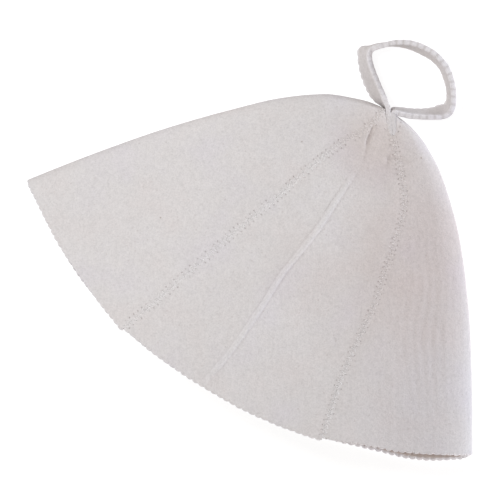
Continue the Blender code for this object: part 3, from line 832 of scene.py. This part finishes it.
def add_tube(bm, points, marks):
    """A closed tube through rings of points, with a cap on each end."""
    rings = add_vertices(bm, points, marks)
    for ring, following in zip(rings, rings[1:]):
        for c in range(len(ring)):
            n = (c + 1) % len(ring)
            bm.faces.new((ring[c], ring[n], following[n], following[c]))
    bm.faces.new(rings[0])
    bm.faces.new(reversed(rings[-1]))


def join_rows(bm, row, fine, row_shares, fine_shares):
    """One face under each wide column, down to the close columns below it."""
    cuts = [int(np.argmin(np.abs(fine_shares - s))) for s in row_shares]
    cuts[0], cuts[-1] = 0, len(fine) - 1
    for k in range(len(row) - 1):
        bm.faces.new([row[k + 1], row[k], *fine[cuts[k]:cuts[k + 1] + 1]])


def skin_border(grid, strip):
    """Vertices round a skin: along the tip, down one seam, back along the hem, and up."""
    rows = grid[1:] + strip
    down = [row[-1] for row in rows]
    up = [row[0] for row in reversed(rows)]
    return grid[0] + down + list(reversed(strip[-1][1:-1])) + up


def close_edge(bm, outer_loop, inner_loop):
    """The felt's cut edge all round, with a row in the middle of its thickness."""
    middle = []
    cut = bm.verts.layers.float["cut"]
    for a, b in zip(outer_loop, inner_loop):
        vertex = bm.verts.new((a.co + b.co) / 2)
        vertex[cut] = a[cut]
        middle.append(vertex)
    count = len(outer_loop)
    for k in range(count):
        n = (k + 1) % count
        bm.faces.new((outer_loop[k], outer_loop[n], middle[n], middle[k]))
        bm.faces.new((middle[k], middle[n], inner_loop[n], inner_loop[k]))


def make_piece(bm, name, material, replaced=None):
    bmesh.ops.recalc_face_normals(bm, faces=bm.faces)
    mesh = bpy.data.meshes.new(name)
    bm.to_mesh(mesh)
    bm.free()
    mesh.shade_smooth()
    mesh.set_sharp_from_angle(angle=SHARP_ANGLE)
    mesh.materials.append(material)
    obj = bpy.data.objects.new(name, mesh)
    bpy.context.scene.collection.objects.link(obj)
    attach(obj, "root")
    if replaced:
        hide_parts(replaced)
    return obj


def hem_strip(gore, angles, shares, width):
    """A gore's pinked hem strip: the shares of its columns, its two skins and their marks."""
    fine_share, fine_angles, row_share = hem_grid(gore, angles, shares, width)
    fine_angles = np.broadcast_to(fine_angles, row_share.shape)
    lengths = np.broadcast_to(fine_share * width, row_share.shape)
    skins = hem_skins(fine_angles, row_share, np.minimum(lengths, width - lengths))
    marks = gore_marks(gore, np.minimum(row_share, 1.0), fine_angles, lengths, width)
    # Cut rows get the paler cut tint, which is painted light on the under layer's wider rim
    cut_height = np.where(on_top(fine_angles), FRONT_CUT_HEIGHT, BACK_CUT_HEIGHT)
    marks["cut"] = 1.0 * (np.array(HEM_ROWS)[:, None] < cut_height)
    return fine_share, skins, marks


def build_gore(gore, material):
    """One gore: an outer and an inner skin, each with its pinked hem strip, joined at the edge."""
    rows = fine_rows()
    angles, shares, widths = gore_columns(gore, rows)
    lengths, full = shares * widths[:, None], widths[:, None]
    share = np.broadcast_to(rows[:, None], angles.shape)
    to_seam = np.minimum(lengths, full - lengths)
    skins = felt_skins(share, angles, to_seam, beside_tails(gore, rows, angles.shape))
    marks = gore_marks(gore, share, angles, lengths, full)
    marks["cut"] = np.zeros(angles.shape)
    fine_share, strips, strip_marks = hem_strip(gore, angles, shares, widths[-1])

    bm = marked_mesh(MARKS)
    borders = []
    # The inner skin, but not its cut rows, gets painted warm shade
    for inside, skin, strip in zip((0.0, 1.0), skins, strips):
        marks["inside"] = inside * (1.0 - marks["cut"])
        strip_marks["inside"] = inside * (1.0 - strip_marks["cut"])
        grid = add_grid(bm, skin, marks)
        teeth = add_grid(bm, strip, strip_marks)
        join_rows(bm, grid[-1], teeth[0], shares[-1], fine_share)
        borders.append(skin_border(grid, teeth))
    close_edge(bm, *borders)
    return make_piece(bm, gore.name, material, gore.replaced)


def smooth_path(rows, steps):
    """A Catmull-Rom curve through the rows of a table."""
    rows = np.array(rows, float)
    t = (np.arange(steps) / steps)[:, None]
    path = []
    for k in range(len(rows) - 1):
        before, start = rows[max(k - 1, 0)], rows[k]
        end, after = rows[k + 1], rows[min(k + 2, len(rows) - 1)]
        square = 2 * before - 5 * start + 4 * end - after
        cube = 3 * start - before - 3 * end + after
        path.append(0.5 * (2 * start + (end - before) * t + square * t**2 + cube * t**3))
    return np.vstack(path + [rows[-1:]])


def strap_stations():
    """Stations along the strap: lengths, middle points, directions up its width, thicknesses."""
    x, y, lean_x, lean_y, low_z, thickness = smooth_path(STRAP_PATH, 10).T
    rise = np.sqrt(STRAP_WIDTH**2 - lean_x**2 - lean_y**2)
    upper = np.column_stack([x, y, low_z + rise])
    lower = np.column_stack([x + lean_x, y + lean_y, low_z])
    middle = (upper + lower) / 2
    length = np.concatenate([[0], np.cumsum(np.linalg.norm(np.diff(middle[:, :2], axis=0), axis=1))])
    along = np.linspace(0, length[-1], int(length[-1] / STRAP_STEP))

    def at_stations(values):
        return np.column_stack([np.interp(along, length, value) for value in values.T])

    return along, at_stations(middle), unit(at_stations(upper - lower)), np.interp(along, length, thickness)


def strap_section():
    """The strap's section, as shares of its half width and half thickness."""
    corner = [(1.0, 0.0), (1.0, 0.6), (0.985, 0.9), (0.93, 1.0), (0.6, 1.0), (0.2, 1.0)]
    half = corner + [(-a, b) for a, b in reversed(corner)]
    return half + [(a, -b) for a, b in reversed(half[1:-1])]


def build_strap(material):
    """The strap loop, a felt band on its edge with round pinked teeth along both edges."""
    along, middle, up, thickness = strap_stations()
    side = unit(np.cross(unit(np.gradient(middle, axis=0)), up))
    teeth = round(along[-1] / STRAP_TOOTH_PITCH)
    # The tails are square at their edges and have no teeth
    calm = np.clip((np.minimum(along, along[-1] - along) - TAIL_LENGTH) / TAIL_FADE, 0.1, 1.0)
    notch_shade = np.interp(along / along[-1], STRAP_LEFT_LEG, STRAP_NOTCH_SHADE)
    points, marks = [], []
    for a, b in strap_section():
        height, lag = (UPPER_TOOTH_HEIGHT, 0.0) if a > 0 else (STRAP_TOOTH_HEIGHT, 0.7)
        notch = np.abs(np.cos(math.pi * along / along[-1] * teeth + lag)) ** 6
        tooth = height / 2 * calm * (1 - 2 * notch)
        mark = 0.0 * calm
        if abs(a) > 0.9:
            a = np.sign(a) * (1 - (1 - abs(a)) * calm)
            b = np.sign(b) * (1 - (1 - abs(b)) * calm)
            # Painted light on the cut edges, less in the notches between teeth and on the tails
            mark = (1.0 - notch_shade * notch * calm) * (0.55 + 0.45 * calm)
        reach = a * STRAP_WIDTH / 2 + np.sign(a) * abs(a) ** 3 * tooth
        points.append(middle + up * reach[:, None] + side * (b * thickness / 2)[:, None])
        marks.append(mark)
    points, marks = np.stack(points, axis=1), np.stack(marks, axis=1)
    rough = STRAP_ROUGHNESS * calm[:, None] * value_noise(points, 2.2, 21)
    points = points + unit(points - middle[:, None, :]) * rough[..., None]
    points[..., 2] = np.maximum(points[..., 2], STRAP_FLOOR_GAP)
    # Painted light on the flank by the root, which lies in the shade between the legs
    from_flank = np.linalg.norm(middle[:, :2] - PAINTED_LIGHT_FLANK, axis=1) / PAINTED_LIGHT_REACH
    bm = marked_mesh(("cut", "painted_light"))
    add_tube(bm, points, {"cut": marks, "painted_light": np.exp(-(from_flank**4))[:, None] * (1.0 - marks)})
    return make_piece(bm, "felt_strap_loop", material, "hanging_loop")


def round_tube(bm, path, radius, sides=6):
    """A round tube along a path of points in millimetres."""
    ahead = unit(np.gradient(path, axis=0))
    side = unit(np.cross(ahead, (0.13, 0.29, 0.95)))
    up = np.cross(side, ahead)
    turn = (2 * math.pi * np.arange(sides) / sides)[:, None]
    around = side[:, None] * np.cos(turn) + up[:, None] * np.sin(turn)
    add_tube(bm, path[:, None] + around * radius, {})


def build_thread(key, material):
    """Zigzag stitches: each crosses the seam and dives into a needle hole at both ends."""
    ends = stitch_ends(key)
    turn = np.arange((len(ends) - 1) * STITCH_STEPS) / STITCH_STEPS
    part = turn % 1.0
    sway = np.where(np.floor(turn) % 2 == 0, 2 * part - 1, 1 - 2 * part)
    share = np.interp(turn, np.arange(len(ends)), ends)
    across = sway * hole_rows(key, share)
    angle = seam_angle(key, share)
    per_degree = np.linalg.norm(around_hat(share, angle), axis=-1)
    angle = angle + across / np.maximum(per_degree, 0.05)
    base = hat_points(share, angle)
    to_seam = np.abs(across)
    relief = felt_relief(base, share, angle, to_seam)
    under = np.sin(np.radians(angle)) < 0
    relief = np.where(under, np.minimum(relief, -UNDER_THREAD_DEPTH) - THREAD_LIFT, relief + THREAD_LIFT)
    bridge = SEAM_NOTCH_DEPTH * bell(to_seam, SEAM_NOTCH_WIDTH)
    dive = THREAD_DIVE * bell(np.minimum(part, 1 - part), 0.1)
    points = base + hat_normals(share, angle) * (relief + bridge - dive)[:, None]
    points[:, 2] = np.maximum(points[:, 2], THREAD_RADIUS + 0.05)
    bm = bmesh.new()
    round_tube(bm, points, THREAD_RADIUS)
    return make_piece(bm, "seam_thread_" + key, material)


def fill(tree, node, inputs):
    """Sets a node's inputs to values, or links them to other nodes' outputs."""
    for name, value in inputs.items():
        if isinstance(value, bpy.types.NodeSocket):
            tree.links.new(value, node.inputs[name])
        else:
            node.inputs[name].default_value = value


def add_node(tree, kind, output, inputs, **settings):
    """The wanted output of a new shader node with these inputs and settings."""
    node = tree.nodes.new("ShaderNode" + kind)
    for name, value in settings.items():
        setattr(node, name, value)
    fill(tree, node, inputs)
    return node.outputs[output]


def attribute(tree, name):
    return add_node(tree, "Attribute", "Fac", {}, attribute_name=name)


def noise(tree, vector, scale, detail, roughness=0.5, distortion=0.0):
    return add_node(tree, "TexNoise", "Fac", {"Vector": vector, "Scale": scale, "Detail": detail,
                                              "Roughness": roughness, "Distortion": distortion})


def calculate(tree, operation, a, b):
    return add_node(tree, "Math", "Value", {0: a, 1: b}, operation=operation)


def times(tree, a, b):
    return calculate(tree, "MULTIPLY", a, b)


def band(tree, source, start, end):
    """0 below start and 1 above end, or the other way round where start is the larger."""
    return add_node(tree, "MapRange", "Result", {"Value": source, "From Min": start, "From Max": end},
                    interpolation_type="SMOOTHSTEP")


def ramp(tree, source, *stops):
    """A colour ramp through stops, each a position with a colour or a grey level."""
    node = tree.nodes.new("ShaderNodeValToRGB")
    elements = node.color_ramp.elements
    elements[0].position, elements[1].position = stops[0][0], stops[-1][0]
    for position, _ in stops[1:-1]:
        elements.new(position)
    for element, (_, colour) in zip(elements, stops):
        element.color = (*colour, 1.0) if isinstance(colour, tuple) else (colour, colour, colour, 1.0)
    fill(tree, node, {"Fac": source})
    return node.outputs["Color"]


def tinted(tree, colour, factor, tint):
    """The colour multiplied by a tint or by another node's colour, as far as the factor says."""
    tint = (*tint, 1.0) if isinstance(tint, tuple) else tint
    return add_node(tree, "Mix", "Result", {"Factor": factor, "A": colour, "B": tint},
                    data_type="RGBA", blend_type="MULTIPLY")


def needle_holes(tree, coords):
    """1 at most of the needle holes beside a seam, which stand at every second stitch."""
    turn = calculate(tree, "MODULO", calculate(tree, "ADD", attribute(tree, "stitch"), 1.0), 2.0)
    along = times(tree, calculate(tree, "SUBTRACT", turn, 1.0), HALF_STITCH)
    aside = times(tree, calculate(tree, "SUBTRACT", attribute(tree, "row"), 1.0), HALF_ROW)
    squares = [times(tree, side, side) for side in (along, aside)]
    holes = band(tree, calculate(tree, "ADD", *squares), 0.3, 0.04)
    return times(tree, holes, band(tree, noise(tree, coords, 210.0, 1.0), 0.32, 0.62))


def specks(tree, coords, scale, size, share):
    """Small specks of coarse wool, in a share of the cells."""
    cells = tree.nodes.new("ShaderNodeTexVoronoi")
    fill(tree, cells, {"Vector": coords, "Scale": scale})
    red = add_node(tree, "SeparateColor", "Red", {"Color": cells.outputs["Color"]})
    near = calculate(tree, "LESS_THAN", cells.outputs["Distance"], size)
    return times(tree, near, calculate(tree, "GREATER_THAN", red, 1.0 - share))


def with_painted_shade(tree, coords, colour):
    """The colour with the spots of painted shade on it, darker and browner."""
    for spot in SHADE_SPOTS:
        centre = (-spot.x, -spot.y * spot.squeeze, -spot.z)
        scale = (1.0, spot.squeeze, 1.0)
        moved = add_node(tree, "Mapping", "Vector", {"Vector": coords, "Location": centre, "Scale": scale})
        away = add_node(tree, "VectorMath", "Value", {0: moved}, operation="LENGTH")
        colour = tinted(tree, colour, band(tree, away, spot.reach, 0.005), spot.tint)
    return colour


def wool_colour(tree, coords, mottle, colour):
    """Mottled wool with a grain, streaks along the carding, a few dark hairs and pale dots."""
    red, green, blue = colour
    base = ramp(tree, noise(tree, coords, CLOUD_SCALE, 3.0), (0.3, (red, green * 0.985, blue * 0.98)),
                (0.5, colour), (0.7, (red * 0.99, green * 0.985, blue * 1.01)))
    grain = noise(tree, coords, GRAIN_SCALE, 3.0, 0.6)
    turned = {"Vector": coords, "Rotation": (0.0, 0.0, CAMERA_ROLL), "Scale": (1.0, 9.0, 1.0)}
    carding = add_node(tree, "Mapping", "Vector", turned, vector_type="TEXTURE")
    for shade in (ramp(tree, mottle, (0.28, 0.92), (0.5, 0.988), (0.72, 1.03)),
                  ramp(tree, grain, (0.3, 0.90), (0.55, 0.99), (0.8, 1.05)),
                  ramp(tree, noise(tree, carding, CARDING_SCALE, 2.0), (0.3, 0.972), (0.7, 1.01))):
        base = tinted(tree, base, 1.0, shade)
    hairs = times(tree, specks(tree, coords, 95.0, 0.055, 0.14), 0.55)
    base = add_node(tree, "Mix", "Result", {"Factor": hairs, "A": base, "B": DARK_HAIR}, data_type="RGBA")
    return tinted(tree, base, specks(tree, coords, 330.0, 0.22, 0.2), PALE_DOT)


def new_material(name):
    """A material, its node tree, its shader and the object's coordinates."""
    material = bpy.data.materials.new(name)
    material.use_nodes = True
    tree = material.node_tree
    coords = tree.nodes.new("ShaderNodeTexCoord").outputs["Object"]
    return material, tree, tree.nodes["Principled BSDF"], coords


def felt_material(name, colour, tints, seams_and_painted_light=False):
    """Pressed wool felt with matted fibres. The tints go where the vertices are marked and mostly paint
    shade and light there. With seams, it also gets spots of painted shade, painted shade in the needle
    holes and painted light along the seams.
    """
    material, tree, shader, coords = new_material(name)
    mottle = noise(tree, coords, MOTTLE_SCALE, 4.0, 0.62)
    fibres = noise(tree, coords, FIBRE_SCALE, 5.0, 0.68, 1.6)
    base = wool_colour(tree, coords, mottle, colour)
    height = calculate(tree, "ADD", times(tree, mottle, 0.7), times(tree, fibres, 0.8))
    for mark, tint in tints.items():
        base = tinted(tree, base, attribute(tree, mark), tint)
    if seams_and_painted_light:
        # Painted shade in the needle holes, which are dented in the bump too
        holes = needle_holes(tree, coords)
        # Spots of painted shade on the felt
        base = tinted(tree, with_painted_shade(tree, coords, base), holes, NEEDLE_HOLE_SHADE)
        # Painted light along the middle of the seams
        base = tinted(tree, base, band(tree, attribute(tree, "row"), 0.9, 0.2), SEAM_PAINTED_LIGHT)
        height = calculate(tree, "SUBTRACT", height, times(tree, holes, 1.2))
    normal = add_node(tree, "Bump", "Normal", {"Height": height, "Distance": FIBRE_HEIGHT})
    fill(tree, shader, {"Base Color": base, "Normal": normal, "Specular IOR Level": 0.15,
                        "Roughness": ramp(tree, mottle, (0.2, 0.88), (0.8, 0.98))})
    return material


def thread_material():
    """Matt sewing thread with the twist of its plies."""
    material, tree, shader, coords = new_material("sewing_thread")
    plies = add_node(tree, "TexWave", "Fac", {"Vector": coords, "Scale": 900.0, "Distortion": 2.0})
    # The thread gets the same spots of painted shade
    colour = with_painted_shade(tree, coords, ramp(tree, plies, (0.2, THREAD_DARK), (0.7, THREAD_PALE)))
    rough = ramp(tree, noise(tree, coords, 700.0, 2.0), (0.3, 0.6), (0.7, 0.8))
    normal = add_node(tree, "Bump", "Normal", {"Height": plies, "Distance": PLY_HEIGHT})
    fill(tree, shader, {"Base Color": colour, "Roughness": rough, "Normal": normal,
                        "Specular IOR Level": 0.3})
    return material


def build_stage():
    """A plain pale floor and soft studio light."""
    bpy.ops.mesh.primitive_plane_add(size=FLOOR_SIZE, location=(0, 0, -FLOOR_DROP))
    floor = bpy.context.object
    floor.name = "floor"
    material = bpy.data.materials.new("pale_floor")
    material.use_nodes = True
    fill(material.node_tree, material.node_tree.nodes["Principled BSDF"], {
        "Base Color": (0.3, 0.3, 0.3, 1.0), "Roughness": 0.9, "Specular IOR Level": 0.0,
        "Emission Color": (1.0, 1.0, 1.0, 1.0), "Emission Strength": FLOOR_GLOW})
    floor.data.materials.append(material)
    world = bpy.data.worlds.new("studio")
    world.use_nodes = True
    background = world.node_tree.nodes["Background"]
    fill(world.node_tree, background, {"Color": (1.0, 0.94, 0.92, 1.0), "Strength": STUDIO_STRENGTH})
    bpy.context.scene.world = world


def build_light(row):
    """A soft light that faces the hat from a direction given in the picture's own axes."""
    right = Vector((math.cos(CAMERA_ROLL), math.sin(CAMERA_ROLL), 0))
    up = Vector((-math.sin(CAMERA_ROLL), math.cos(CAMERA_ROLL), 0))
    direction = (right * row.right + up * row.up + Vector((0, 0, row.above))).normalized()
    data = bpy.data.lights.new(row.name, "AREA")
    data.shape = "DISK"
    data.size = row.size
    data.energy = row.power
    data.color = row.colour
    light = bpy.data.objects.new(row.name, data)
    light.location = Vector((CAMERA_TARGET.x, CAMERA_TARGET.y, 0)) + direction * row.distance
    light.rotation_euler = direction.to_track_quat("Z", "Y").to_euler()
    bpy.context.scene.collection.objects.link(light)


def build_camera():
    data = bpy.data.cameras.new("camera")
    data.sensor_width = SENSOR
    data.lens = SENSOR * (CAMERA_HEIGHT - CAMERA_TARGET.z) / VIEW_WIDTH
    data.clip_start = 0.05
    data.clip_end = 30.0
    camera = bpy.data.objects.new("camera", data)
    camera.location = (CAMERA_TARGET.x, CAMERA_TARGET.y, CAMERA_HEIGHT)
    camera.rotation_euler = (0.0, 0.0, CAMERA_ROLL)
    bpy.context.scene.collection.objects.link(camera)
    bpy.context.scene.camera = camera
    bpy.context.scene.view_settings.view_transform = "Standard"


def main():
    felt = felt_material("wool_felt", FELT_COLOUR, FELT_TINTS, seams_and_painted_light=True)
    strap = felt_material("strap_felt", STRAP_SHADED_COLOUR, STRAP_LIGHT_TINTS)
    for gore in GORES:
        build_gore(gore, felt)
    build_strap(strap)
    thread = thread_material()
    for key in SEAMS:
        build_thread(key, thread)
    build_stage()
    for row in LIGHTS:
        build_light(row)
    build_camera()


main()
